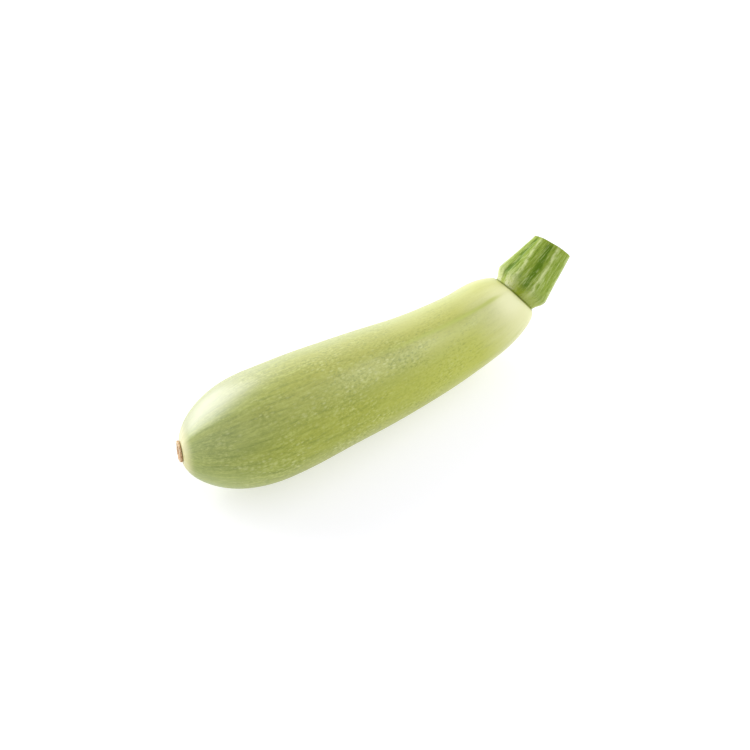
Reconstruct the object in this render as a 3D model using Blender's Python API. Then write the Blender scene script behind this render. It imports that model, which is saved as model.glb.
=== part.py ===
# A light green zucchini lying on its side as picked, in metres.
# +X runs from the blossom end to the stem end and +Z is up.
# The origin is on the floor under the middle of the whole.

import math
import bpy
import numpy as np

# Fruit body, measured along its curved middle line
BODY_LENGTH = 0.180
BODY_RADIUS = 0.0257
NECK_RADIUS = 0.0176
TAPER_START = 0.216
TAPER_END = 1.0

# Blossom end
NOSE_SHARE = 0.234
NOSE_POWER = 2.07
NOSE_ROUND = 0.60
TIP_RADIUS = 0.0049

# Shoulder that rounds the neck off at the stem
SHOULDER_START = 0.866
SHOULDER_POWER = 2.0
SHOULDER_ROUND = 0.554
STEM_SEAT_RADIUS = 0.0111

# Sideways bend of the middle line, in degrees
START_HEADING = 3.0
EVEN_BEND = 8.4
NECK_BEND = 1.2
NECK_BEND_START = 0.645
NOSE_HOOK = 14.0
NOSE_HOOK_END = 0.32

# How far the middle line leaves the level, towards each end
NOSE_RISE = 0.0012
NOSE_RISE_END = 0.3
NECK_RISE = 0.0062
NECK_RISE_START = 0.48
STEM_SEAT_RISE = 0.0039
STEM_SEAT_RISE_START = 0.80

# Five soft ridges that run along the fruit, and fade where it lies
RIDGE_COUNT = 5
RIDGE_HEIGHT = 0.014
RIDGE_HEIGHT_NECK = 0.022
RIDGE_SHARPNESS = 0.2
RIDGE_TURN = 73.0
BELLY_TURN = 270.0
BELLY_EDGE = 0.55
BELLY_FADE = 0.35

# The fruit settles this far into its own round belly, which leaves a small flat
REST_FLAT_DEPTH = 0.0011

# Peduncle, the cut stem
STEM_GAP = 0.0003
STEM_LENGTH = 0.0282
STEM_BASE_RADIUS = 0.0109
STEM_BULGE_RADIUS = 0.0132
STEM_CUT_RADIUS = 0.0091
STEM_BULGE_AT = 0.22
STEM_RISE = 14.0
STEM_TURN = 1.4
STEM_BEND_SHARE = 0.25
STEM_RIDGE_COUNT = 7
STEM_RIDGE_HEIGHT = 0.038
STEM_CUT_SLANT = 8.0

# Dry remnant of the flower
SCAR_GAP = 0.0003
SCAR_RADIUS = 0.0048
SCAR_THICKNESS = 0.0015
SCAR_DISH = 0.0005

# Mesh fineness
BODY_STATIONS = 61
BODY_SIDES = 60
STEM_STATIONS = 17
STEM_SIDES = 56
SCAR_SIDES = 32
LINE_STEPS = 2001


def linear(red, green, blue):
    """Turn a display colour from 0 to 255 into the linear one a shader takes."""
    display = np.array([red, green, blue]) / 255.0
    low = display / 12.92
    high = ((display + 0.055) / 1.055) ** 2.4
    return tuple(float(value) for value in np.where(display <= 0.04045, low, high))


def ease(value):
    """Rise smoothly from 0 to 1 while value does."""
    value = np.clip(value, 0.0, 1.0)
    return value * value * (3.0 - 2.0 * value)


def beyond(share, start):
    """Rise straight from 0 at a starting share of the length to 1 at its end."""
    return np.clip((share - start) / (1.0 - start), 0.0, 1.0)


def before(share, end):
    """Fall straight from 1 at the start of the length to 0 at an end share."""
    return np.clip(1.0 - share / end, 0.0, 1.0)


def plain_radius(share):
    """Radius of the fruit without its rounded ends, at a share of its length."""
    taper = ease((share - TAPER_START) / (TAPER_END - TAPER_START))
    return BODY_RADIUS + (NECK_RADIUS - BODY_RADIUS) * taper


def body_radius(share):
    """Radius of the fruit with its round nose and its shoulder."""
    nose = (1.0 - before(share, NOSE_SHARE) ** NOSE_POWER) ** NOSE_ROUND
    radius = TIP_RADIUS + (plain_radius(share) - TIP_RADIUS) * nose
    along = beyond(share, SHOULDER_START)
    shoulder = (1.0 - along ** SHOULDER_POWER) ** SHOULDER_ROUND
    return np.where(along > 0.0, STEM_SEAT_RADIUS + (radius - STEM_SEAT_RADIUS) * shoulder, radius)


def middle_line():
    """Points and directions of the fruit's middle line, blossom end first."""
    share = np.linspace(0.0, 1.0, LINE_STEPS)
    turn = START_HEADING + EVEN_BEND * share + NECK_BEND * ease(beyond(share, NECK_BEND_START))
    heading = np.radians(turn - NOSE_HOOK * before(share, NOSE_HOOK_END) ** 2)
    height = plain_radius(share) + NOSE_RISE * before(share, NOSE_RISE_END) ** 2
    height = height + NECK_RISE * beyond(share, NECK_RISE_START) ** 2
    height = height + STEM_SEAT_RISE * beyond(share, STEM_SEAT_RISE_START) ** 2
    climb = np.gradient(height, share * BODY_LENGTH)
    level = np.sqrt(1.0 - climb ** 2)
    direction = np.stack([np.cos(heading) * level, np.sin(heading) * level, climb], axis=1)
    step = BODY_LENGTH / (LINE_STEPS - 1)
    flat = (direction[1:, :2] + direction[:-1, :2]) * 0.5 * step
    point = np.zeros((LINE_STEPS, 3))
    point[1:, :2] = np.cumsum(flat, axis=0)
    point[:, 2] = height
    return share, point, direction


def along_line(line, share):
    """Point and direction of the middle line at each share of its length."""
    at, point, direction = line
    place = np.stack([np.interp(share, at, point[:, axis]) for axis in range(3)], axis=1)
    way = np.stack([np.interp(share, at, direction[:, axis]) for axis in range(3)], axis=1)
    return place, way / np.linalg.norm(way, axis=1, keepdims=True)


def rings(place, way, radius, sides):
    """Rings of points square to a line; angle 90 degrees is the top of each ring."""
    side = np.cross(way, np.array([0.0, 0.0, 1.0]))
    side = side / np.linalg.norm(side, axis=1, keepdims=True)
    top = np.cross(side, way)
    angle = np.arange(sides) * 2.0 * math.pi / sides
    across = radius * np.cos(angle)
    upward = radius * np.sin(angle)
    return place[:, None, :] + across[..., None] * side[:, None, :] + upward[..., None] * top[:, None, :]


def ridge_wave(sides, count):
    """Cosine wave with its crests on the ridges, once round a ring."""
    angle = np.arange(sides) * 2.0 * math.pi / sides
    return np.cos(count * (angle - math.radians(RIDGE_TURN)))


def belly_fade(sides):
    """Share of the ridges that is left round a ring: none along the belly."""
    angle = np.arange(sides) * 2.0 * math.pi / sides
    down = np.cos(angle - math.radians(BELLY_TURN))
    return 1.0 - ease((down - BELLY_EDGE) / BELLY_FADE)


def closed_skin(name, grid, first_middle, last_middle):
    """Mesh object from rings of points, closed with a fan at each end."""
    count, sides = grid.shape[:2]
    points = np.concatenate([grid.reshape(-1, 3), first_middle[None, :], last_middle[None, :]])
    first = count * sides
    last = first + 1
    faces = []
    for ring in range(count - 1):
        for side in range(sides):
            near = ring * sides + side
            beside = ring * sides + (side + 1) % sides
            faces.append((near, near + sides, beside + sides, beside))
    for side in range(sides):
        beside = (side + 1) % sides
        faces.append((first, side, beside))
        faces.append((last, (count - 1) * sides + beside, (count - 1) * sides + side))
    mesh = bpy.data.meshes.new(name)
    mesh.from_pydata(points.tolist(), [], faces)
    mesh.validate()
    mesh.polygons.foreach_set("use_smooth", [True] * len(mesh.polygons))
    mesh.update()
    piece = bpy.data.objects.new(name, mesh)
    bpy.context.scene.collection.objects.link(piece)
    return piece


def give_finish(piece, name, colour, roughness):
    """Give a piece its own plain shader."""
    material = bpy.data.materials.new(name)
    material.use_nodes = True
    shader = material.node_tree.nodes["Principled BSDF"]
    shader.inputs["Base Color"].default_value = (*colour, 1.0)
    shader.inputs["Roughness"].default_value = roughness
    shader.inputs["Metallic"].default_value = 0.0
    piece.data.materials.append(material)


def make_fruit(line):
    """The fruit: a bent, tapering body with five soft ridges and a flat belly."""
    spread = (1.0 - np.cos(np.linspace(0.0, math.pi, BODY_STATIONS))) * 0.5
    place, way = along_line(line, spread)
    height = RIDGE_HEIGHT + (RIDGE_HEIGHT_NECK - RIDGE_HEIGHT) * ease(beyond(spread, 0.5))
    wave = ridge_wave(BODY_SIDES, RIDGE_COUNT)
    wave = wave + RIDGE_SHARPNESS * ridge_wave(BODY_SIDES, 2 * RIDGE_COUNT)
    wave = wave * belly_fade(BODY_SIDES)
    radius = body_radius(spread)[:, None] * (1.0 + height[:, None] * wave)
    grid = rings(place, way, radius, BODY_SIDES)
    piece = closed_skin("fruit", grid, place[0], place[-1])
    give_finish(piece, "fruit_skin", linear(190, 198, 118), 0.34)
    return piece


def make_peduncle(line):
    """The stem: swollen over the fruit, ridged, and cut a little askew."""
    end, way = along_line(line, np.array([1.0]))
    heading = math.atan2(way[0, 1], way[0, 0])
    climb = math.asin(way[0, 2])
    share = np.linspace(0.0, 1.0, STEM_STATIONS)
    bend = np.clip(share / STEM_BEND_SHARE, 0.0, 1.0)
    turned = heading + math.radians(STEM_TURN) * bend
    raised = climb + math.radians(STEM_RISE) * bend
    level = np.cos(raised)
    direction = np.stack([np.cos(turned) * level, np.sin(turned) * level, np.sin(raised)], axis=1)
    step = STEM_LENGTH / (STEM_STATIONS - 1)
    place = np.zeros((STEM_STATIONS, 3))
    place[0] = end[0] + way[0] * STEM_GAP
    place[1:] = place[0] + np.cumsum((direction[1:] + direction[:-1]) * 0.5 * step, axis=0)
    swell = STEM_BASE_RADIUS + (STEM_BULGE_RADIUS - STEM_BASE_RADIUS) * ease(share / STEM_BULGE_AT)
    plain = swell + (STEM_CUT_RADIUS - STEM_BULGE_RADIUS) * beyond(share, STEM_BULGE_AT)
    wave = STEM_RIDGE_HEIGHT * ridge_wave(STEM_SIDES, STEM_RIDGE_COUNT)
    grid = rings(place, direction, plain[:, None] * (1.0 + ease(share * 3.0)[:, None] * wave), STEM_SIDES)
    across = np.cross(direction[-1], np.array([0.0, 0.0, 1.0]))
    askew = (grid - place[:, None, :]) @ (across / np.linalg.norm(across))
    slant = askew * math.tan(math.radians(STEM_CUT_SLANT)) * share[:, None] ** 2
    grid = grid + slant[..., None] * direction[:, None, :]
    piece = closed_skin("peduncle", grid, place[0], place[-1])
    give_finish(piece, "peduncle_rind", linear(140, 162, 78), 0.5)
    return piece


def make_scar(line):
    """The dry button at the blossom end, dished in its middle."""
    tip, way = along_line(line, np.array([0.0]))
    outward = -way[0]
    reach = np.array([0.0, 0.25, 0.75, 1.0, 1.0, 0.62])
    width = np.array([0.88, 1.0, 1.0, 0.86, 0.62, 0.32])
    place = tip + outward * (SCAR_GAP + SCAR_THICKNESS * reach)[:, None]
    direction = np.repeat(outward[None, :], len(reach), axis=0)
    radius = (SCAR_RADIUS * width)[:, None] * np.ones((1, SCAR_SIDES))
    grid = rings(place, direction, radius, SCAR_SIDES)
    dish = place[3] - outward * SCAR_DISH
    piece = closed_skin("blossom_scar", grid, place[0], dish)
    give_finish(piece, "scar_cork", linear(190, 159, 111), 0.8)
    return piece


def settle(pieces, fruit):
    """Put the whole over the origin, and press the fruit's belly flat on the floor."""
    cloud = {}
    for piece in pieces:
        flat = np.empty(len(piece.data.vertices) * 3)
        piece.data.vertices.foreach_get("co", flat)
        cloud[piece.name] = flat.reshape(-1, 3)
    whole = np.concatenate(list(cloud.values()))
    low = whole.min(axis=0)
    high = whole.max(axis=0)
    shift = np.array([(low[0] + high[0]) * 0.5, (low[1] + high[1]) * 0.5, low[2] + REST_FLAT_DEPTH])
    for piece in pieces:
        moved = cloud[piece.name] - shift
        if piece is fruit:
            moved[:, 2] = np.maximum(moved[:, 2], 0.0)
        piece.data.vertices.foreach_set("co", moved.ravel())
        piece.data.update()


def build():
    """Make the fruit, its stem and the remnant of its flower."""
    for old in list(bpy.data.objects):
        bpy.data.objects.remove(old, do_unlink=True)
    line = middle_line()
    fruit = make_fruit(line)
    peduncle = make_peduncle(line)
    scar = make_scar(line)
    settle([fruit, peduncle, scar], fruit)


build()
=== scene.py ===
# %% [markdown]
# # A light green zucchini on a pale floor
# The CAD model already has the right size and place: a bent, tapering fruit, a cut
# stem and the dry button that the flower left. This script dresses it. Each of the
# three gets a finer surface that follows the same middle line, and a procedural
# finish. Then come the floor, the lights and the camera.

# %% Load the frame
import bpy
import math
import numpy as np
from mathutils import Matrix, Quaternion, Vector

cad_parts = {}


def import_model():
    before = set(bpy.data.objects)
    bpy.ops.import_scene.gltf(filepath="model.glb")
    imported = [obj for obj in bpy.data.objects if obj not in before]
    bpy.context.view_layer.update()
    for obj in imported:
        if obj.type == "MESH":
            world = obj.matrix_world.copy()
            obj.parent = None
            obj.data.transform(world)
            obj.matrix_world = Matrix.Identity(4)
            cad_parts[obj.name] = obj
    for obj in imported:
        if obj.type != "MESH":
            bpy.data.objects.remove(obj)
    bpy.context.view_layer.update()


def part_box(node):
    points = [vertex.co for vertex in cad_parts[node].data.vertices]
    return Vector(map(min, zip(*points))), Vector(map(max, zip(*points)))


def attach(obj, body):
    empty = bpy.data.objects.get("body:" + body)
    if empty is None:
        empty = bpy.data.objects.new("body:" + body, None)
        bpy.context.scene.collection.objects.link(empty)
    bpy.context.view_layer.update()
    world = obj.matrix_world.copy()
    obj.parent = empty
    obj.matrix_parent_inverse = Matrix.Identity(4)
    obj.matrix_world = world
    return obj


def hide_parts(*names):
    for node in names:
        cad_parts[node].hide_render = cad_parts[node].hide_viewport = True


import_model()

# %% [markdown]
# ## The middle line
# A zucchini is a tube around a bent line. On a real one the line turns a little to
# one side all the way, a little more at the neck, and the neck lifts off the
# table. Modelling starts with that line, because every ring of skin hangs on it.
# The alternative is to bend a straight mesh with a modifier, but then the pattern
# of the skin would be harder to lay along the fruit.

# %% Sizes of the fruit, in metres, as in the CAD model
BODY_LENGTH = 0.180
BODY_RADIUS = 0.0257
NECK_RADIUS = 0.0176
TIP_RADIUS = 0.0049
STEM_SEAT_RADIUS = 0.0111
REST_FLAT_DEPTH = 0.0011
print("fruit", BODY_LENGTH * 1000, "mm along its bend and", BODY_RADIUS * 2000, "mm thick")


# %% Soft steps and ramps
def ease(value):
    """Rise smoothly from 0 to 1: three times the square less twice the cube."""
    value = np.clip(value, 0.0, 1.0)
    return value * value * (3.0 - 2.0 * value)


def beyond(share, start):
    """Rise straight from 0 at a starting share of the length to 1 at its end."""
    return np.clip((share - start) / (1.0 - start), 0.0, 1.0)


def before(share, end):
    """Fall straight from 1 at the start of the length to 0 at an end share."""
    return np.clip(1.0 - share / end, 0.0, 1.0)


# %% Thickness along the fruit
NOSE_END = 0.234
TAPER_START = 0.216
SHOULDER_START = 0.866


def plain_radius(share):
    """The body's radius plus a soft step of what the neck lacks, without rounded ends."""
    taper = ease((share - TAPER_START) / (1.0 - TAPER_START))
    return BODY_RADIUS + (NECK_RADIUS - BODY_RADIUS) * taper


def body_radius(share):
    """Plain radius times a round nose, then drawn in to the stem's seat by a shoulder.

    The nose is one less a power of the distance left to the widest place, all to a
    power near a half, which is nearly an ellipse. The shoulder is built the same way.
    """
    nose = (1.0 - before(share, NOSE_END) ** 2.07) ** 0.60
    radius = TIP_RADIUS + (plain_radius(share) - TIP_RADIUS) * nose
    shoulder = (1.0 - beyond(share, SHOULDER_START) ** 2.0) ** 0.554
    drawn_in = STEM_SEAT_RADIUS + (radius - STEM_SEAT_RADIUS) * shoulder
    return np.where(share > SHOULDER_START, drawn_in, radius)


# %% The bent line
LINE_STEPS = 2000


def middle_line():
    """Add up small steps along a heading that turns with the share of the length.

    A step is the mean of the directions at its two ends, times its length. The height
    is the plain radius, lifted a little at the nose and by two squared ramps at the neck.
    """
    share = np.linspace(0.0, 1.0, LINE_STEPS + 1)
    turn = 3.0 + 8.4 * share + 1.2 * ease(beyond(share, 0.645)) - 14.0 * before(share, 0.32) ** 2
    heading = np.radians(turn)
    height = plain_radius(share) + 0.0012 * before(share, 0.3) ** 2
    height = height + 0.0062 * beyond(share, 0.48) ** 2 + 0.0039 * beyond(share, 0.80) ** 2
    climb = np.gradient(height, share * BODY_LENGTH)
    level = np.sqrt(1.0 - climb ** 2)
    direction = np.stack([np.cos(heading) * level, np.sin(heading) * level, climb], axis=1)
    step = (direction[1:, :2] + direction[:-1, :2]) * 0.5 * BODY_LENGTH / LINE_STEPS
    point = np.zeros_like(direction)
    point[1:, :2] = np.cumsum(step, axis=0)
    point[:, 2] = height
    return share, point, direction


LINE = middle_line()
print("middle line reaches", LINE[1][-1].round(4), "heading", LINE[2][-1].round(3))


# %% [markdown]
# ## Rings of skin
# Every piece here is a grid of points: one direction runs along a line, the other
# once round it. The helpers below hang rings on the line, and turn a grid into a
# closed mesh in one go. Each point also carries a few numbers, such as how far
# along it is, so that the finish can follow the fruit however it bends.

# %% Rings along a line
def turns(sides):
    """Angles of evenly spaced points in one full turn, in radians."""
    return np.linspace(0.0, 2.0 * math.pi, sides, endpoint=False)


def along_line(share):
    """Point and direction of the middle line at each share, on straight lines between steps."""
    at, point, direction = LINE
    place = np.stack([np.interp(share, at, point[:, axis]) for axis in range(3)], axis=1)
    way = np.stack([np.interp(share, at, direction[:, axis]) for axis in range(3)], axis=1)
    return place, way / np.linalg.norm(way, axis=1, keepdims=True)


def ring_axes(way):
    """Level axis and upward axis square to each direction, by two cross products."""
    side = np.cross(way, np.array([0.0, 0.0, 1.0]))
    side = side / np.linalg.norm(side, axis=1, keepdims=True)
    return side, np.cross(side, way)


def leaned(way, turn):
    """Directions leaned upwards by an angle: cosine along each, sine along its upward axis."""
    side, top = ring_axes(way)
    return way * np.cos(turn)[:, None] + top * np.sin(turn)[:, None]


def rings(place, way, radius, angle):
    """Centre plus radius times cosine along the level axis and sine along the upward one."""
    side, top = ring_axes(way)
    across = (radius * np.cos(angle))[..., None] * side[:, None, :]
    upward = (radius * np.sin(angle))[..., None] * top[:, None, :]
    return place[:, None, :] + across + upward


# %% A closed mesh from a grid
def closed_piece(name, grid, numbers, first_middle, last_middle):
    """Mesh from a grid that closes round itself, with a fan of triangles at each end.

    A point's place in the list is its ring times the sides plus its turn, and the two
    middles come last. A middle carries the mean of the numbers on the ring next to it.
    """
    count, sides = grid.shape[:2]
    points = np.concatenate([grid.reshape(-1, 3), first_middle[None, :], last_middle[None, :]])
    ring = np.arange(count - 1)[:, None] * sides
    here = np.arange(sides)[None, :]
    beside = (here + 1) % sides
    quads = np.stack([ring + here, ring + sides + here, ring + sides + beside, ring + beside], axis=-1)
    first = np.stack([np.full(sides, count * sides), here[0], beside[0]], axis=-1)
    final = (count - 1) * sides
    last = np.stack([np.full(sides, count * sides + 1), final + beside[0], final + here[0]], axis=-1)
    faces = quads.reshape(-1, 4).tolist() + first.tolist() + last.tolist()
    mesh = bpy.data.meshes.new(name)
    mesh.from_pydata(points.tolist(), [], faces)
    mesh.polygons.foreach_set("use_smooth", np.ones(len(mesh.polygons), dtype=bool))
    for label, values in numbers.items():
        flat = values.reshape(count * sides, -1)
        middles = np.stack([flat[:sides].mean(axis=0), flat[-sides:].mean(axis=0)])
        flat = np.concatenate([flat, middles])
        kind, field = ("FLOAT", "value") if flat.shape[1] == 1 else ("FLOAT_VECTOR", "vector")
        mesh.attributes.new(label, kind, "POINT").data.foreach_set(field, flat.ravel())
    mesh.update()
    mesh.calc_loop_triangles()
    piece = bpy.data.objects.new(name, mesh)
    bpy.context.scene.collection.objects.link(piece)
    print(name, len(mesh.vertices), "points,", len(mesh.loop_triangles), "triangles")
    return piece


# %% [markdown]
# ## The fruit
# Cut a zucchini across and the slice isn't round: it has five soft corners, which
# run along the skin as ridges and are crisper at both ends. The skin also swells
# and dips a little, as nothing that grows is turned on a lathe. Sculpting could do
# this by hand; here a few waves are added to the radius, which stay easy to
# change. Round the flower's button the skin puckers into fine pleats, and at the
# other end the last rings lean upwards, so that the seat of the stem is askew.

# %% Ridges, swells and pleats
RIDGE_TURN = math.radians(73.0)


def ridge_height(share, angle):
    """Five soft corners: a folded sine, whose fold is rounded by a small number under a root.

    The number is larger half way, so the corners are crisp at both ends and soft in
    the middle. They fade along the belly, where the fruit lies on the floor.
    """
    rounding = 0.09 + 0.15 * np.sin(math.pi * share) ** 2
    folded = np.sqrt(np.sin(2.5 * (angle - RIDGE_TURN)) ** 2 + rounding ** 2)
    belly = ease((-np.sin(angle) - 0.55) / 0.35)
    return (0.045 + 0.005 * ease(beyond(share, 0.5))) * (0.68 - folded) * (1.0 - belly)


def swell_height(share, angle):
    """Slow sine waves along and round the fruit, in metres."""
    along = share * BODY_LENGTH
    slow = np.sin(along * 74.0 + 1.7 * np.sin(angle)) * np.cos(2.0 * angle + 0.9)
    quick = np.sin(along * 163.0 + 2.0 * np.cos(angle + 0.6)) * np.cos(3.0 * angle - 0.4)
    return 0.00022 * slow + 0.00010 * quick


def pleat_height(share, angle):
    """Cosine round the tip that dies away within a few millimetres, in metres."""
    away = np.exp(-((share * BODY_LENGTH) / 0.0022) ** 2)
    return -0.00016 * away * (1.0 + np.cos(14.0 * angle + 2.0 * np.sin(3.0 * angle)))


# %% Where the rings of skin stand
SKIN_RINGS = 330
SKIN_SIDES = 240
SEAT_LEAN = math.radians(11.0)
SEAT_SINK = 0.0007
share = (1.0 - np.cos(np.linspace(0.0, math.pi, SKIN_RINGS))) * 0.5
angle = turns(SKIN_SIDES)
share_grid, angle_grid = np.meshgrid(share, angle, indexing="ij")
place, way = along_line(share)
seat_share = ease(beyond(share, 0.88))
way = leaned(way, SEAT_LEAN * seat_share)
place = place - way * (SEAT_SINK * seat_share)[:, None]
print("rings", (np.diff(share) * BODY_LENGTH * 1000).max().round(2), "mm apart at most")

# %% The skin as a grid
radius = body_radius(share_grid) * (1.0 + ridge_height(share_grid, angle_grid))
inland = ease(share_grid / 0.05) * ease((1.0 - share_grid) / 0.05)
radius = radius + swell_height(share_grid, angle_grid) * inland + pleat_height(share_grid, angle_grid)
skin_grid = rings(place, way, radius, angle[None, :])
print("widest radius", (radius.max() * 1000).round(2), "mm")

# %% Move the fruit onto the CAD node and flatten where it rests
low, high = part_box("fruit")
SHIFT = np.array([
    (skin_grid[..., 0].min() + skin_grid[..., 0].max() - low[0] - high[0]) * 0.5,
    (skin_grid[..., 1].min() + skin_grid[..., 1].max() - low[1] - high[1]) * 0.5,
    skin_grid[..., 2].min() + REST_FLAT_DEPTH])
skin_grid = skin_grid - SHIFT
skin_grid[..., 2] = np.maximum(skin_grid[..., 2], 0.0)
print("fruit box in mm", (skin_grid.reshape(-1, 3).min(axis=0) * 1000).round(1),
      (skin_grid.reshape(-1, 3).max(axis=0) * 1000).round(1))

# %% [markdown]
# ## What each point of the skin carries
# A finish has to know where on the fruit it is. Four numbers and a laid-out place
# travel with the points. `lay` is the place as if the skin were peeled off: metres
# along it, and a turn round it. `along` is the share of the length. `ridge_line` is
# 1 on the upper ridge, `cream_side` is 1 but on the flank behind that ridge, and
# `upper` goes from 1 on top to -1 on the belly. A painted map would do the same,
# but it would have to be painted again whenever a size changes.

# %% Numbers for the finish, and the mesh
FLANK_TURN = math.radians(112.0)
steps = np.diff(skin_grid, axis=0)
meridian = np.zeros_like(share_grid)
meridian[1:] = np.cumsum(np.linalg.norm(steps, axis=2), axis=0)
lay = np.stack([meridian, BODY_RADIUS * np.cos(angle_grid), BODY_RADIUS * np.sin(angle_grid)], axis=-1)
off_ridge = np.abs(np.sin(2.5 * (angle_grid - RIDGE_TURN)))
one_side = np.exp(2.0 * (np.cos(angle_grid - RIDGE_TURN) - 1.0))
ridge_line = np.exp(-(off_ridge / 0.13) ** 2) * one_side
# cream_side also places the painted highlight on the flank of the round end.
cream_side = 1.0 - 0.6 * np.exp(9.0 * (np.cos(angle_grid - FLANK_TURN) - 1.0))
skin_numbers = {
    "lay": lay,
    "along": share_grid,
    "ridge_line": ridge_line,
    "cream_side": cream_side,
    "upper": np.sin(angle_grid)}
fruit = closed_piece("fruit_skin", skin_grid, skin_numbers, place[0] - SHIFT, place[-1] - SHIFT)

# %% [markdown]
# ## The stem
# The stem was cut with a knife a thumb's width above the fruit. It is angular, with
# seven ribs that swell into feet where they meet the fruit, and furrows between
# them. An even wave round the stem would look like a machined shaft, so a short
# table gives each rib its turn and each furrow its depth. The last rings fold
# inwards over the cut, so that the cut face is part of the same closed skin.

# %% Line of the stem
STEM_LENGTH = 0.0289
STEM_RINGS = 150
STEM_SINK = 0.0006
STEM_TURN = math.radians(1.4)
STEM_RISE = math.radians(14.0)


def stem_line():
    """Carry on from the end of the fruit, turned and raised a little over the first quarter.

    As on the fruit, each step is the mean of the directions at its ends, times its length.
    """
    end, way_out = along_line(np.array([1.0]))
    along = np.linspace(0.0, 1.0, STEM_RINGS)
    bend = np.clip(along / 0.25, 0.0, 1.0)
    turned = math.atan2(way_out[0, 1], way_out[0, 0]) + STEM_TURN * bend
    raised = math.asin(way_out[0, 2]) + SEAT_LEAN + (STEM_RISE - SEAT_LEAN) * bend
    level = np.cos(raised)
    direction = np.stack([np.cos(turned) * level, np.sin(turned) * level, np.sin(raised)], axis=1)
    step = (direction[1:] + direction[:-1]) * 0.5 * STEM_LENGTH / (STEM_RINGS - 1)
    centre = np.zeros_like(direction)
    centre[0] = end[0] - way_out[0] * STEM_SINK
    centre[1:] = centre[0] + np.cumsum(step, axis=0)
    return along, centre - SHIFT, direction


stem_share, stem_centre, stem_way = stem_line()
print("stem runs from", stem_centre[0].round(4), "to", stem_centre[-1].round(4))

# %% Ribs and fibres
RIB_TURNS = np.radians([-15.0, 38.0, 53.0, 82.0, 132.0, 185.0, 235.0, 290.0, 345.0])
RIB_COUNTS = np.array([0.0, 1.0, 1.5, 2.0, 3.0, 4.0, 5.0, 6.0, 7.0])
FURROW_DEPTHS = np.array([0.42, 1.0, 0.90, 0.70, 0.85, 0.60, 0.75, 0.42])


def rib_wave(along, angle):
    """Height of the ribs, from about 0 in a deep furrow to 1 on a crest.

    Seven ribs stand at uneven turns, and one furrow lies off the middle between two of
    them. Between ribs the surface sinks by a folded sine times that furrow's depth: a
    little of it plain, and the rest to the fifth power, which keeps the furrow narrow.
    Two faint lines stand in it. The ribs lean over towards the cut, and wander a little.
    """
    lean = np.radians(6.0 + 16.0 * np.exp(-((angle - 1.6) / 0.5) ** 2)) * along ** 2
    wander = 0.016 * np.sin(11.0 * along + 2.0 * angle) + 0.005 * np.sin(39.0 * along - 3.0 * angle)
    turned = (angle - lean + wander - RIB_TURNS[0]) % (2.0 * math.pi) + RIB_TURNS[0]
    count = np.interp(turned, RIB_TURNS, RIB_COUNTS)
    depth = FURROW_DEPTHS[np.floor(count).astype(int)]
    folded = np.sqrt(np.sin(math.pi * count) ** 2 + 0.02) - math.sqrt(0.02)
    sunk = 0.60 * folded + 0.62 * folded ** 5
    faint = np.clip(np.cos(6.0 * math.pi * count) - 0.2, 0.0, 1.0)
    return np.clip(1.0 - depth * sunk * (1.12 - 0.22 * faint), 0.0, 1.0)


def fibre_wave(along, angle):
    """Fine lines along the stem: sines round it that drift slowly along it."""
    drift = 0.5 * np.sin(5.0 * along + 2.0 * angle)
    return 0.6 * np.sin(29.0 * angle + 2.0 * drift) + 0.4 * np.sin(47.0 * angle - 3.0 * drift)


# %% The side of the stem as a grid
STEM_SIDES = 288
STEM_FOOT_RADIUS = 0.0109
STEM_SWELL = 0.0023
STEM_TAPER = 0.0041
SWELL_END = 0.22
stem_angle = turns(STEM_SIDES)
stem_u, stem_v = np.meshgrid(stem_share, stem_angle, indexing="ij")
ribs = rib_wave(stem_u, stem_v)
swell = STEM_SWELL * ease(stem_u / SWELL_END)
taper = STEM_TAPER * beyond(stem_u, SWELL_END)
grown = ease(stem_u / 0.14)
rib_depth = 0.0009 + 0.0003 * np.exp(-((stem_u - 0.25) / 0.22) ** 2)
relief = rib_depth * (ribs - 0.45) + 0.00006 * fibre_wave(stem_u, stem_v)
stem_radius = STEM_FOOT_RADIUS + swell - taper + grown * relief
stem_grid = rings(stem_centre, stem_way, stem_radius, stem_angle[None, :])
print("stem radius in mm", (stem_radius.min() * 1000).round(2), "to",
      (stem_radius.max() * 1000).round(2))

# %% Slant the cut and close the stem over it
CUT_RINGS = 26
CUT_SLANT = math.radians(8.0)


def cut_face(rim, centre, way_out):
    """Rings that shrink from the rim to the middle, a little dished, with a rolled edge.

    A ring's size is one less a power of the way inward. Its height rises by a soft step
    just inside the rim, and sinks by a longer soft step from there to the middle.
    """
    inward = np.linspace(0.0, 1.0, CUT_RINGS + 1)[1:]
    keep = (1.0 - inward ** 1.15)[:, None, None]
    flat = centre + (rim - centre)[None, :, :] * np.clip(keep, 0.004, 1.0)
    dish = 0.00022 * ease(inward / 0.10) - 0.00075 * ease((inward - 0.06) / 0.9)
    return flat + dish[:, None, None] * way_out, inward


level_way = np.cross(stem_way[-1], np.array([0.0, 0.0, 1.0]))
askew = (stem_grid - stem_centre[:, None, :]) @ (level_way / np.linalg.norm(level_way))
slant = askew * math.tan(CUT_SLANT) * stem_u ** 2
stem_grid = stem_grid + slant[..., None] * stem_way[:, None, :]
cap_grid, inward = cut_face(stem_grid[-1], stem_centre[-1], stem_way[-1])
whole_stem = np.concatenate([stem_grid, cap_grid])
cut_across = np.linalg.norm(stem_grid[-1, 0] - stem_grid[-1, STEM_SIDES // 2])
print("cut is", (cut_across * 1000).round(1), "mm across")

# %% [markdown]
# ## What each point of the stem carries
# `lay` and `along` are as on the fruit. `rib` is the height of the ribs, so that
# crests and furrows can differ in colour. `pale_foot` is 1 low on the upper side,
# and `inward` is 0 on the side of the stem and grows to 1 in the middle of the cut,
# which is how one finish can tell rind from flesh. On the cut, `lay` is a flat disc,
# so that the pattern of the rind doesn't run across the flesh as long smears.

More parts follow.
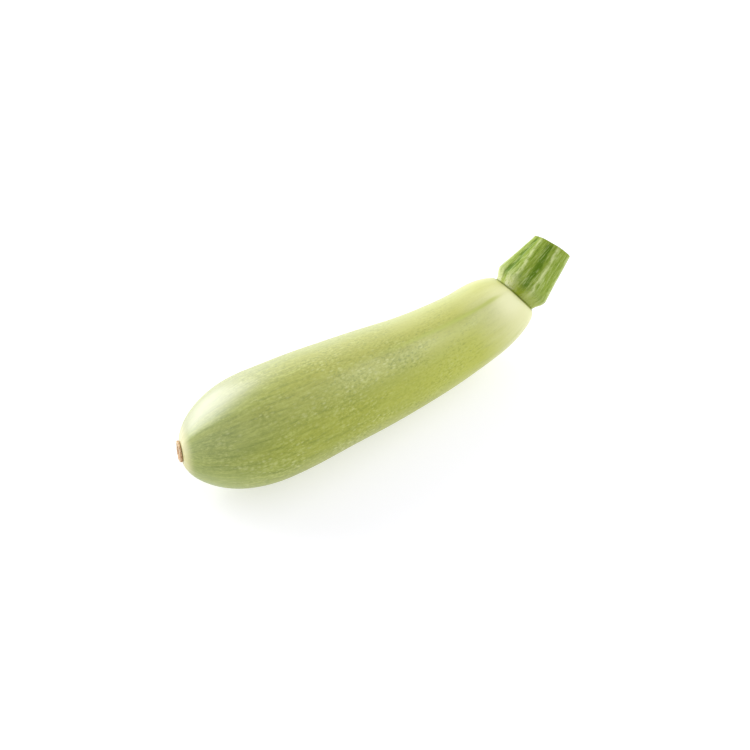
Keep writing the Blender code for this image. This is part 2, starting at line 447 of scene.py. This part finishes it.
# %% Numbers for the rind, and the mesh
LAY_RADIUS = 0.011
CUT_LAY_RADIUS = 0.009
sunny_side = 0.30 + 0.70 * ease((np.cos(stem_v - math.radians(110.0)) - 0.70) / 0.25)
pale_foot = np.exp(-(stem_u / 0.20) ** 2) * sunny_side
stem_lay = np.stack([
    stem_u * STEM_LENGTH,
    LAY_RADIUS * np.cos(stem_v),
    LAY_RADIUS * np.sin(stem_v)], axis=-1)
cap_reach = (1.0 - inward ** 1.15)[:, None]
on_cap = np.ones((CUT_RINGS, STEM_SIDES))
cap_lay = np.stack([
    on_cap * STEM_LENGTH,
    CUT_LAY_RADIUS * np.cos(stem_angle) * cap_reach,
    CUT_LAY_RADIUS * np.sin(stem_angle) * cap_reach], axis=-1)
stem_numbers = {
    "lay": np.concatenate([stem_lay, cap_lay]),
    "along": np.concatenate([stem_u, on_cap]),
    "rib": np.concatenate([ribs, np.repeat(ribs[-1:], CUT_RINGS, axis=0)]),
    "pale_foot": np.concatenate([pale_foot, on_cap * 0.0]),
    "inward": np.concatenate([np.zeros_like(stem_u), on_cap * inward[:, None]])}
stem = closed_piece("stem_rind", whole_stem, stem_numbers, stem_centre[0], cap_grid[-1].mean(axis=0))

# %% [markdown]
# ## The flower's button
# The flower dries and drops, and leaves a corky button with a torn rim and a hollow
# middle. It is only ten millimetres wide, but it closes the fruit's round end, so
# it is worth its own surface: a rim that rises and falls, and a rough dish. A disc
# would be too clean; uneven waves round the rim make it look torn.

# %% Profile of the button
BUTTON_RADIUS = 0.0048
BUTTON_HEIGHT = 0.0012
RIM_START = 0.35


def button_profile(walk, angle):
    """Width and height of the button: up its side, over the rim, and down into the dish.

    Width bulges by a half sine on the side, then falls by a power to nearly nothing.
    Height rises by a soft step, sinks into the dish by another, and comes up again a
    little in the middle. Sines round the rim make it uneven.
    """
    torn = 0.35 * np.sin(3.0 * angle + 0.7) + 0.25 * np.sin(5.0 * angle + 2.0)
    torn = torn + 0.20 * np.sin(11.0 * angle)
    over = np.clip((walk - RIM_START) / (1.0 - RIM_START), 0.0, 1.0)
    side_width = 0.90 + 0.10 * np.sin(math.pi * walk / RIM_START)
    dish_width = 0.90 * (1.0 - over) ** 0.8 + 0.01
    width = np.where(walk < RIM_START, side_width, dish_width) * (1.0 + 0.06 * torn)
    rise = ease(walk / RIM_START) * (1.0 + 0.18 * torn * (1.0 - over))
    dish = 0.75 * ease((over - 0.12) / 0.45) - 0.35 * ease((over - 0.72) / 0.28)
    rough = 0.06 * np.sin(17.0 * angle + 9.0 * over) * np.sin(7.0 * over * math.pi)
    rough = rough * ease(over * 4.0) * ease((1.0 - over) * 4.0)
    return width * BUTTON_RADIUS, (rise - dish + rough) * BUTTON_HEIGHT


# %% The corky button
BUTTON_RINGS = 60
BUTTON_SIDES = 120
BUTTON_GAP = 0.0001
button_u, button_v = np.meshgrid(np.linspace(0.0, 1.0, BUTTON_RINGS), turns(BUTTON_SIDES), indexing="ij")
tip_place, tip_way = along_line(np.array([0.0]))
button_width, button_height = button_profile(button_u, button_v)
tip_side, tip_top = ring_axes(tip_way)
outward = -tip_way[0]
button_grid = (tip_place[0] - SHIFT + outward * BUTTON_GAP
               + button_height[..., None] * outward
               + (button_width * np.cos(button_v))[..., None] * tip_side[0]
               + (button_width * np.sin(button_v))[..., None] * tip_top[0])
button_grid = button_grid[:, ::-1]
rim_waves = np.sin(9.0 * button_v + np.sin(4.0 * button_v))
button_numbers = {"walk": button_u[:, ::-1], "spoke": rim_waves[:, ::-1]}
button = closed_piece("flower_button", button_grid, button_numbers,
                      button_grid[0].mean(axis=0), button_grid[-1].mean(axis=0))

# %% [markdown]
# ## Finishes
# Colours are given as they look on a screen, from 0 to 255, and turned into the
# linear values that a shader works with. The small helpers keep the node graphs
# short: one adds a node, one blends two colours, one turns a number into a soft
# step. The same graphs could be wired by hand in the shader editor, but in text
# each mark of the skin is one line that can be read and changed.

# %% Colours as the screen shows them
def linear(red, green, blue):
    """Undo the screen's curve: the usual power of 2.4 with a straight foot."""
    screen = np.array([red, green, blue]) / 255.0
    value = np.where(screen <= 0.04045, screen / 12.92, ((screen + 0.055) / 1.055) ** 2.4)
    return (*[float(part) for part in value], 1.0)


# %% Helpers for node graphs
class Graph:
    """The node graph of one material, with its shader at hand."""

    def __init__(self, name):
        self.material = bpy.data.materials.new(name)
        self.material.use_nodes = True
        self.tree = self.material.node_tree
        self.shader = self.tree.nodes["Principled BSDF"]

    def node(self, kind, settings=None, links=None):
        """Add a node, set its inputs by name or number, and link others to it."""
        made = self.tree.nodes.new(kind)
        for key, value in (settings or {}).items():
            if hasattr(made, str(key)):
                setattr(made, key, value)
            else:
                made.inputs[key].default_value = value
        for key, source in (links or {}).items():
            self.tree.links.new(source, made.inputs[key])
        return made

    def feed(self, socket, value):
        """Set a socket to a plain number or colour, or link another socket to it."""
        if isinstance(value, (int, float, tuple)):
            socket.default_value = value
        else:
            self.tree.links.new(value, socket)

    def number(self, name):
        """Read a number that each point of the mesh carries."""
        return self.node("ShaderNodeAttribute", {"attribute_name": name}).outputs["Fac"]

    def lay(self, scale):
        """Read the laid-out place of each point, stretched by a scale for each axis."""
        source = self.node("ShaderNodeAttribute", {"attribute_name": "lay"}).outputs["Vector"]
        return self.node("ShaderNodeMapping", {"Scale": scale}, {"Vector": source}).outputs["Vector"]

    def noise(self, vector, scale, detail=3.0, roughness=0.55):
        """Soft noise from 0 to 1."""
        settings = {"Scale": scale, "Detail": detail, "Roughness": roughness}
        return self.node("ShaderNodeTexNoise", settings, {"Vector": vector}).outputs["Fac"]

    def step(self, value, low, high, start=0.0, end=1.0):
        """Move smoothly from start to end while the value goes from low to high."""
        settings = {"interpolation_type": "SMOOTHSTEP", "From Min": low, "From Max": high,
                    "To Min": start, "To Max": end}
        return self.node("ShaderNodeMapRange", settings, {"Value": value}).outputs["Result"]

    def math(self, operation, first, second):
        """Join two numbers by an operation; either may be a plain number."""
        made = self.node("ShaderNodeMath", {"operation": operation})
        self.feed(made.inputs[0], first)
        self.feed(made.inputs[1], second)
        return made.outputs["Value"]

    def both(self, first, second):
        """Multiply two numbers, so that a mark shows only where both of them are large."""
        return self.math("MULTIPLY", first, second)

    def blend(self, amount, first, second):
        """Blend from the first colour to the second; a colour may be a tuple or a socket."""
        made = self.node("ShaderNodeMix", {"data_type": "RGBA"})
        self.feed(made.inputs[0], amount)
        self.feed(made.inputs[6], first)
        self.feed(made.inputs[7], second)
        return made.outputs[2]

    def bump(self, height, strength, distance, normal=None):
        """Lean the normal by a height, on top of an earlier bump if one is given."""
        links = {"Height": height}
        if normal is not None:
            links["Normal"] = normal
        settings = {"Strength": strength, "Distance": distance}
        return self.node("ShaderNodeBump", settings, links).outputs["Normal"]

    def finish(self, piece, **inputs):
        """Plug sockets or plain values into the shader, and give the finish to a piece."""
        for key, value in inputs.items():
            self.feed(self.shader.inputs[key.replace("_", " ")], value)
        piece.data.materials.append(self.material)
        print(piece.name, "finish with", len(self.tree.nodes), "nodes")


# %% [markdown]
# ## Skin of the fruit
# The skin is yellow-green, and a little warmer along the top, where the sun reached
# it. It has four sizes of mark: broad faint bands along the fruit, fine streaks that
# draw together at the round end, a close grain, and small pale flecks that are
# longer than they are wide. The marks read the laid-out place, so they run along the
# bend. A cell pattern gives flecks with clear edges, which noise alone would not.

# %% Noises that the skin is made of
skin = Graph("waxy_skin")
along = skin.number("along")
upper = skin.number("upper")
cream_side = skin.number("cream_side")
bands = skin.noise(skin.lay((0.06, 1.0, 1.0)), 170.0, 2.0)
streaks = skin.noise(skin.lay((0.13, 1.0, 1.0)), 760.0, 3.0, 0.6)
grain = skin.noise(skin.lay((0.62, 1.0, 1.0)), 980.0, 3.0, 0.68)
patches = skin.noise(skin.lay((0.5, 1.0, 1.0)), 60.0, 2.0)
print("noises:", len(skin.tree.nodes), "nodes so far")

# %% Green with bands, streaks and grain
base = skin.blend(skin.step(along, 0.02, 0.34), linear(152, 166, 74), linear(160, 168, 54))
base = skin.blend(skin.step(along, 0.30, 0.85), base, linear(188, 194, 78))
base = skin.blend(skin.step(bands, 0.36, 0.66, 0.0, 0.30), base, linear(183, 187, 68))
base = skin.blend(skin.step(patches, 0.45, 0.75, 0.0, 0.30), base, linear(142, 155, 48))
sunned = skin.both(skin.step(upper, 0.86, 1.0, 0.0, 0.30), skin.step(along, 0.14, 0.40))
base = skin.blend(sunned, base, linear(176, 170, 72))
round_end = skin.step(along, 0.08, 0.55, 0.58, 0.18)
pale_streaks = skin.both(skin.step(streaks, 0.50, 0.68), round_end)
dark_streaks = skin.both(skin.step(streaks, 0.47, 0.32), round_end)
base = skin.blend(pale_streaks, base, linear(188, 198, 96))
base = skin.blend(dark_streaks, base, linear(112, 130, 34))
crowd = skin.step(skin.noise(skin.lay((0.6, 1.0, 1.0)), 70.0, 3.0), 0.36, 0.64)
grainy = skin.both(skin.step(along, 0.50, 0.90, 1.0, 0.40), skin.math("ADD", crowd, 0.55))
pale_grain = skin.both(skin.step(grain, 0.51, 0.66, 0.0, 0.46), grainy)
dark_grain = skin.both(skin.step(grain, 0.48, 0.35, 0.0, 0.42), grainy)
base = skin.blend(pale_grain, base, linear(192, 200, 112))
base = skin.blend(dark_grain, base, linear(118, 135, 30))
print("green:", len(skin.tree.nodes), "nodes so far")


# %% Pale flecks
def flecks(graph, scale, stretch, size, share_kept):
    """Spots of a cell pattern: soft steps of the distance to a cell's middle.

    Each cell has a colour of its own, and its red part is the lot that keeps a cell or
    drops it.
    """
    settings = {"feature": "F1", "Scale": scale, "Randomness": 1.0}
    cell = graph.node("ShaderNodeTexVoronoi", settings, {"Vector": graph.lay((stretch, 1.0, 1.0))})
    spot = graph.step(cell.outputs["Distance"], size * 0.30, size, 1.0, 0.0)
    lot = graph.node("ShaderNodeSeparateColor", {}, {"Color": cell.outputs["Color"]}).outputs[0]
    return graph.both(spot, graph.step(lot, 1.0 - share_kept, 1.0 - share_kept + 0.15))


small_flecks = flecks(skin, 760.0, 0.50, 0.50, 0.50)
large_flecks = flecks(skin, 380.0, 0.60, 0.36, 0.30)
middle_only = skin.both(skin.step(along, 0.0, 0.12), skin.step(along, 0.32, 0.84, 1.0, 0.14))
off_flank = skin.both(middle_only, skin.step(cream_side, 0.50, 0.92, 0.35, 1.0))
crowded = skin.both(skin.math("ADD", crowd, 0.25), off_flank)
fleck_amount = skin.both(skin.math("MAXIMUM", small_flecks, large_flecks), crowded)
marked = skin.blend(skin.both(fleck_amount, 0.46), base, linear(210, 216, 146))
print("flecks:", len(skin.tree.nodes), "nodes so far")

# %% [markdown]
# ## Neck, line and round end
# Near the stem the leaves kept the light off, and the skin stayed cream. A green
# line runs into it along the upper ridge. At the round end the skin is cream again
# where the button sits. On the flank above it, the skin's colour is blended towards
# grey-white as a painted highlight, where the back light's shine falls. Where the
# stem sits, the last rings are darkened as painted shade. Each of these is a soft
# step of a number that the mesh carries. Patches painted by hand could follow the
# photograph more closely, but they would not fit the fruit once its sizes change.

# %% Cream neck with a green line
neck_noise = skin.noise(skin.lay((0.25, 1.0, 1.0)), 120.0, 2.0)
neck_reach = skin.math("ADD", along, skin.both(skin.math("SUBTRACT", neck_noise, 0.5), 0.08))
cream = skin.both(skin.step(neck_reach, 0.77, 0.98, 0.0, 0.95), cream_side)
necked = skin.blend(cream, marked, linear(232, 232, 180))
line_noise = skin.noise(skin.lay((0.12, 1.0, 1.0)), 420.0, 2.0)
broken = skin.both(skin.number("ridge_line"), skin.step(line_noise, 0.25, 0.55, 0.5, 1.0))
line_reach = skin.both(skin.step(along, 0.45, 0.78, 0.15, 0.9), skin.step(along, 0.90, 0.985, 1.0, 0.0))
lined = skin.blend(skin.both(broken, line_reach), necked, linear(182, 194, 76))
print("neck:", len(skin.tree.nodes), "nodes so far")

# %% Painted highlight, tip, and painted shade at the stem's seat
# Painted highlight: on the upper flank of the round end, the skin's colour is blended towards grey-white
# where the shine falls.
painted_highlight = skin.both(skin.step(cream_side, 0.50, 0.985, 0.66, 0.0), skin.step(along, 0.04, 0.32, 1.0, 0.0))
with_painted_highlight = skin.blend(painted_highlight, lined, linear(172, 172, 138))
tipped = skin.blend(skin.step(along, 0.02, 0.20, 0.26, 0.0), with_painted_highlight, linear(188, 200, 136))
tipped = skin.blend(skin.step(along, 0.0, 0.022, 0.90, 0.0), tipped, linear(228, 222, 164))
# Painted shade: the last rings of skin, where the stem meets the fruit, are darkened towards olive.
painted_seat_shade = skin.blend(skin.step(along, 0.9950, 0.9995), tipped, linear(146, 154, 58))
print("round end:", len(skin.tree.nodes), "nodes so far")

# %% [markdown]
# ## Wax on the skin
# The wax is a rough coat over a satin base, thinner at the neck and on the belly,
# where it rubs off. A smooth coat would look like plastic, and no coat would lose
# the broad pale shine. Two bumps, from the streaks and from the grain, keep the
# shine from looking blown on.

# %% Wax, bumps and the finished skin
wax = skin.both(skin.step(along, 0.84, 0.95, 1.0, 0.25), skin.step(upper, 0.30, 0.90, 0.22, 1.0))
skin_bump = skin.bump(streaks, 0.10, 0.0003)
skin_bump = skin.bump(grain, 0.10, 0.0002, skin_bump)
skin.finish(
    fruit,
    Base_Color=painted_seat_shade,
    Roughness=skin.step(bands, 0.3, 0.7, 0.40, 0.48),
    IOR=1.45,
    Specular_IOR_Level=0.36,
    Coat_Weight=wax,
    Coat_Roughness=0.37,
    Coat_IOR=1.75,
    Sheen_Weight=0.04,
    Sheen_Roughness=0.35,
    Normal=skin_bump)

# %% [markdown]
# ## Rind of the stem
# The stem is a stronger green, and matt. Its crests are worn pale, its furrows are
# dark, and fine fibres run along it. Near the fruit the feet of the ribs are paler
# still on the upper side, broken up by small scales. A bump alone would not show
# the ribs in such soft light, so their height drives the colour too.

# %% Numbers and noises of the rind
rind = Graph("ribbed_rind")
stem_along = rind.number("along")
rib = rind.number("rib")
cut = rind.number("inward")
fibres = rind.noise(rind.lay((0.11, 1.0, 1.0)), 1500.0, 4.0, 0.7)
mottle = rind.noise(rind.lay((0.50, 1.0, 1.0)), 560.0, 4.0, 0.65)
scales = rind.noise(rind.lay((0.60, 1.0, 1.0)), 1500.0, 3.0, 0.6)
worn = rind.math("ADD", rib, rind.both(rind.math("SUBTRACT", mottle, 0.5), 0.85))
print("rind:", len(rind.tree.nodes), "nodes so far")

# %% Ribbed green, from furrow to crest
green = rind.blend(rind.step(worn, 0.08, 0.62), linear(94, 126, 16), linear(142, 164, 60))
green = rind.blend(rind.step(worn, 0.80, 1.16), green, linear(192, 208, 134))
green = rind.blend(rind.step(fibres, 0.51, 0.62, 0.0, 0.55), green, linear(184, 200, 126))
green = rind.blend(rind.step(fibres, 0.47, 0.36, 0.0, 0.62), green, linear(84, 118, 14))
fine_line = rind.both(rind.step(rib, 0.92, 0.985), rind.step(mottle, 0.36, 0.54, 0.15, 0.65))
green = rind.blend(fine_line, green, linear(210, 220, 152))
green = rind.blend(rind.step(stem_along, 0.0, 0.24, 0.85, 0.0), green, linear(164, 182, 12))
foot = rind.both(rind.number("pale_foot"), rind.step(worn, 0.10, 0.70, 0.20, 1.0))
foot = rind.both(foot, rind.step(scales, 0.36, 0.50, 0.35, 1.0))
green = rind.blend(foot, green, linear(222, 226, 178))
# Painted shade: the stem's first rings, where it meets the fruit, are darkened towards olive.
green = rind.blend(rind.step(stem_along, 0.004, 0.030, 0.55, 0.0), green, linear(118, 130, 30))
green = rind.blend(rind.step(stem_along, 0.93, 1.0, 0.0, 0.55), green, linear(150, 166, 56))
print("green of the stem:", len(rind.tree.nodes), "nodes so far")

# %% [markdown]
# ## The cut face
# The knife left pale flesh inside a thin green rim, with a ring of small dots where
# the veins were cut. A disc with a material of its own would need a seam, so the
# flesh is part of the same finish, and the number `inward` says where it begins.

# %% Flesh with its ring of veins
veins = rind.node("ShaderNodeTexVoronoi", {"feature": "F1", "Scale": 620.0},
                  {"Vector": rind.lay((0.0, 1.0, 1.0))})
vein_ring = rind.both(rind.step(cut, 0.12, 0.22), rind.step(cut, 0.40, 0.55, 1.0, 0.0))
vein_dots = rind.both(rind.step(veins.outputs["Distance"], 0.16, 0.30, 1.0, 0.0), vein_ring)
flesh = rind.blend(mottle, linear(186, 202, 122), linear(214, 224, 160))
flesh = rind.blend(rind.step(fibres, 0.44, 0.60, 0.30, 0.0), flesh, linear(150, 172, 92))
flesh = rind.blend(rind.both(vein_dots, 0.7), flesh, linear(132, 156, 66))
flesh = rind.blend(rind.step(cut, 0.55, 0.95, 0.0, 0.6), flesh, linear(228, 228, 188))
flesh = rind.blend(rind.step(cut, 0.04, 0.20, 1.0, 0.0), flesh, linear(128, 150, 60))
stem_colour = rind.blend(rind.step(cut, 0.0, 0.05), green, flesh)
print("flesh:", len(rind.tree.nodes), "nodes so far")

# %% Bumps and the finished rind
stem_bump = rind.bump(fibres, 0.45, 0.0005)
stem_bump = rind.bump(mottle, 0.30, 0.0006, stem_bump)
rind.finish(
    stem,
    Base_Color=stem_colour,
    Roughness=rind.step(worn, 0.1, 0.9, 0.50, 0.62),
    IOR=1.40,
    Specular_IOR_Level=0.20,
    Normal=stem_bump)

# %% [markdown]
# ## Cork of the button
# Dried plant tissue is matt and mixed in colour: tan, with dark cracks, a brown
# dish, and a torn cream rim. It is darker where it joins the fruit. Two sizes of
# noise, one for the blotches and one for the crumbs, are enough at this size.

# %% Dry cork
cork = Graph("dry_cork")
walk = cork.number("walk")
spoke = cork.number("spoke")
spot_place = cork.node("ShaderNodeTexCoord").outputs["Object"]
crumbs = cork.noise(spot_place, 1400.0, 4.0, 0.7)
blotch = cork.noise(spot_place, 520.0, 2.0)
tan = cork.blend(cork.step(blotch, 0.38, 0.62), linear(204, 158, 118), linear(230, 200, 160))
tan = cork.blend(cork.step(crumbs, 0.48, 0.34, 0.0, 0.75), tan, linear(112, 74, 46))
tan = cork.blend(cork.step(walk, 0.66, 0.84, 0.0, 0.5), tan, linear(128, 88, 56))
rim = cork.both(cork.step(walk, 0.22, 0.32), cork.step(walk, 0.40, 0.52, 1.0, 0.0))
torn_rim = cork.both(rim, cork.step(spoke, -0.6, 0.6, 0.35, 0.95))
tan = cork.blend(torn_rim, tan, linear(236, 224, 190))
tan = cork.blend(cork.step(walk, 0.05, 0.14, 0.60, 0.0), tan, linear(112, 82, 44))
cork.finish(button, Base_Color=tan, Roughness=0.82, IOR=1.45, Normal=cork.bump(crumbs, 0.6, 0.0003))

# %% [markdown]
# ## Joining the pieces to the model
# The new surfaces stand for the CAD nodes, which stay behind them for collision.
# Nothing moves on a zucchini, so all three ride on the one body.

# %% Ride and replace
for piece, node, slot in ((fruit, "fruit", "fruit_skin"), (stem, "peduncle", "peduncle_rind"),
                          (button, "blossom_scar", "scar_cork")):
    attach(piece, "root")
    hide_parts(node)
    print(piece.name, "rides on the root and stands for", node)

# %% [markdown]
# ## Floor
# A shop photograph of a vegetable is taken on white card under broad soft lights,
# so that the card vanishes and only a soft shadow is left. A large flat square does
# for the card. It glows a little by itself, which keeps the shadow pale and stops
# the green of the fruit from tinting it.

# %% White card
CARD_HALF = 3.0
CARD_DROP = 0.0002
corners = np.array([(-1.0, -1.0), (1.0, -1.0), (1.0, 1.0), (-1.0, 1.0)]) * CARD_HALF
corners = np.column_stack([corners, np.full(4, -CARD_DROP)])
card_mesh = bpy.data.meshes.new("white_card")
card_mesh.from_pydata(corners.tolist(), [], [(0, 1, 2, 3)])
card = bpy.data.objects.new("white_card", card_mesh)
bpy.context.scene.collection.objects.link(card)
paper = Graph("white_paper")
paper.finish(
    card,
    Base_Color=(0.53, 0.53, 0.57, 1.0),
    Roughness=0.7,
    Emission_Color=(1.0, 1.0, 1.0, 1.0),
    Emission_Strength=0.56)

# %% [markdown]
# ## Light
# The broad white shine along the upper side comes from a large soft light low
# behind the fruit: at that grazing angle even a satin skin mirrors it. A weaker one
# beside it carries the shine on towards the neck. A third from the right shapes the
# body, and stands where the near side doesn't mirror it. The white surroundings do
# most of the work and fill the shadows.

# %% How a soft light is made
def soft_light(name, place, aim, size, watts, roll=0.0):
    """Rectangle of light that looks at a point, and can be rolled about that direction."""
    data = bpy.data.lights.new(name, "AREA")
    data.shape = "RECTANGLE"
    data.size, data.size_y = size
    data.energy = watts
    lamp = bpy.data.objects.new(name, data)
    lamp.location = place
    towards = (Vector(aim) - Vector(place)).to_track_quat("-Z", "Y")
    lamp.rotation_euler = (towards @ Quaternion((0.0, 0.0, 1.0), math.radians(roll))).to_euler()
    bpy.context.scene.collection.objects.link(lamp)
    print(name, watts, "W at", place)


# %% Three lamps
soft_light("back_window", (-0.44, 0.90, 0.40), (-0.05, 0.0, 0.03), (1.10, 0.85), 11.5, 24.0)
soft_light("side_window", (0.46, 0.98, 0.30), (0.03, 0.0, 0.03), (0.80, 0.70), 1.0)
soft_light("right_window", (1.10, -0.10, 0.58), (0.0, 0.0, 0.02), (0.80, 0.70), 6.8)

# %% White surroundings
world = bpy.data.worlds.new("white_room")
world.use_nodes = True
surroundings = world.node_tree.nodes["Background"]
surroundings.inputs["Color"].default_value = (1.0, 1.0, 1.0, 1.0)
surroundings.inputs["Strength"].default_value = 0.64
bpy.context.scene.world = world
bpy.context.scene.view_settings.view_transform = "Standard"
print("surroundings at", round(surroundings.inputs["Strength"].default_value, 2))

# %% [markdown]
# ## Camera
# The photograph looks down at about 47 degrees, with the blossom end nearer and to
# the left. A long lens keeps the two ends at nearly the same size. The camera is
# placed by its angle, its distance and the point that it looks at.

# %% Camera at the photograph's angle
CAMERA_TURN = math.radians(-27.0)
CAMERA_RISE = math.radians(47.0)
CAMERA_DISTANCE = 0.8077
LENS = 85.0
FILM_WIDTH = 36.0
look_at = np.array([0.0984, 0.0080, 0.020]) - SHIFT
level = math.cos(CAMERA_RISE)
back = np.array([
    math.sin(CAMERA_TURN) * level,
    -math.cos(CAMERA_TURN) * level,
    math.sin(CAMERA_RISE)])
camera_data = bpy.data.cameras.new("camera")
camera_data.lens = LENS
camera_data.sensor_width = FILM_WIDTH
camera = bpy.data.objects.new("camera", camera_data)
camera.location = look_at + back * CAMERA_DISTANCE
camera.rotation_euler = (math.pi / 2.0 - CAMERA_RISE, 0.0, CAMERA_TURN)
bpy.context.scene.collection.objects.link(camera)
bpy.context.scene.camera = camera
print("camera at", tuple(round(value, 3) for value in camera.location))
